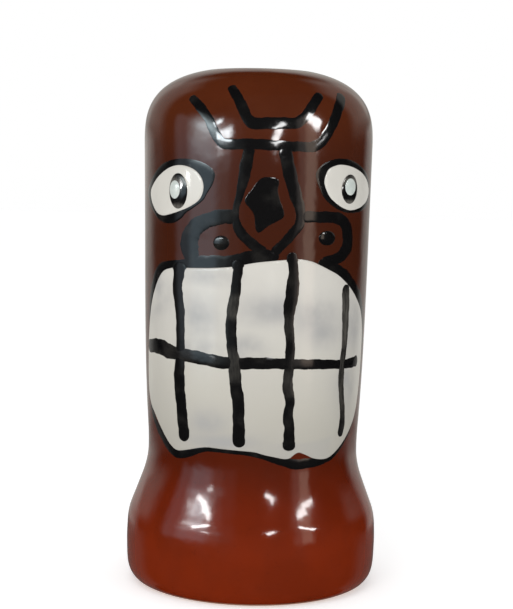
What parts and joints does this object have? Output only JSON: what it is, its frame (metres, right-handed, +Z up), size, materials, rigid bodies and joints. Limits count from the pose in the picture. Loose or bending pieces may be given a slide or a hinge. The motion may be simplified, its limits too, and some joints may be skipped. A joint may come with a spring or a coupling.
{
  "type": "tiki mug",
  "caption": "Tall round glazed ceramic drinking vessel with a flat crown, a closed-in mouth, a narrowed neck, a bulging base and a painted mask with bared teeth.",
  "frame": {"origin": "middle of the foot ring, on the surface that the mug stands on", "axes": "+Z up along the body's axis; the mask looks along -Y; +X is the right-hand side of someone looking at the mask"},
  "size_m": [0.0838, 0.0838, 0.17],
  "materials": {
    "brown_glaze": "gloss",
    "white_enamel": "gloss",
    "black_enamel": "gloss",
    "pale_enamel": "gloss"
  },
  "bodies": {
    "root": {"mug_body": "brown_glaze", "mouth_panel": "white_enamel", "eye_white_left": "white_enamel", "eye_white_right": "white_enamel", "bite_line": "black_enamel", "tooth_line_upper_1": "black_enamel", "tooth_line_upper_2": "black_enamel", "tooth_line_upper_3": "black_enamel", "tooth_line_upper_4": "black_enamel", "tooth_line_lower_1": "black_enamel", "tooth_line_lower_2": "black_enamel", "tooth_line_lower_3": "black_enamel", "tooth_line_lower_4": "black_enamel", "upper_lip_line_left": "black_enamel", "upper_lip_line_right": "black_enamel", "lower_lip_line": "black_enamel", "upper_brow_line": "black_enamel", "lower_brow_line": "black_enamel", "nose_line_left": "black_enamel", "nose_line_right": "black_enamel", "nose_diamond": "black_enamel", "nostril_line_left": "black_enamel", "nostril_line_right": "black_enamel", "nostril_dot_left": "black_enamel", "nostril_dot_right": "black_enamel", "eye_outline_left": "black_enamel", "eye_outline_right": "black_enamel", "pupil_left": "black_enamel", "pupil_right": "black_enamel", "pupil_dot_left": "pale_enamel", "pupil_dot_right": "pale_enamel"}
  },
  "joints": []
}
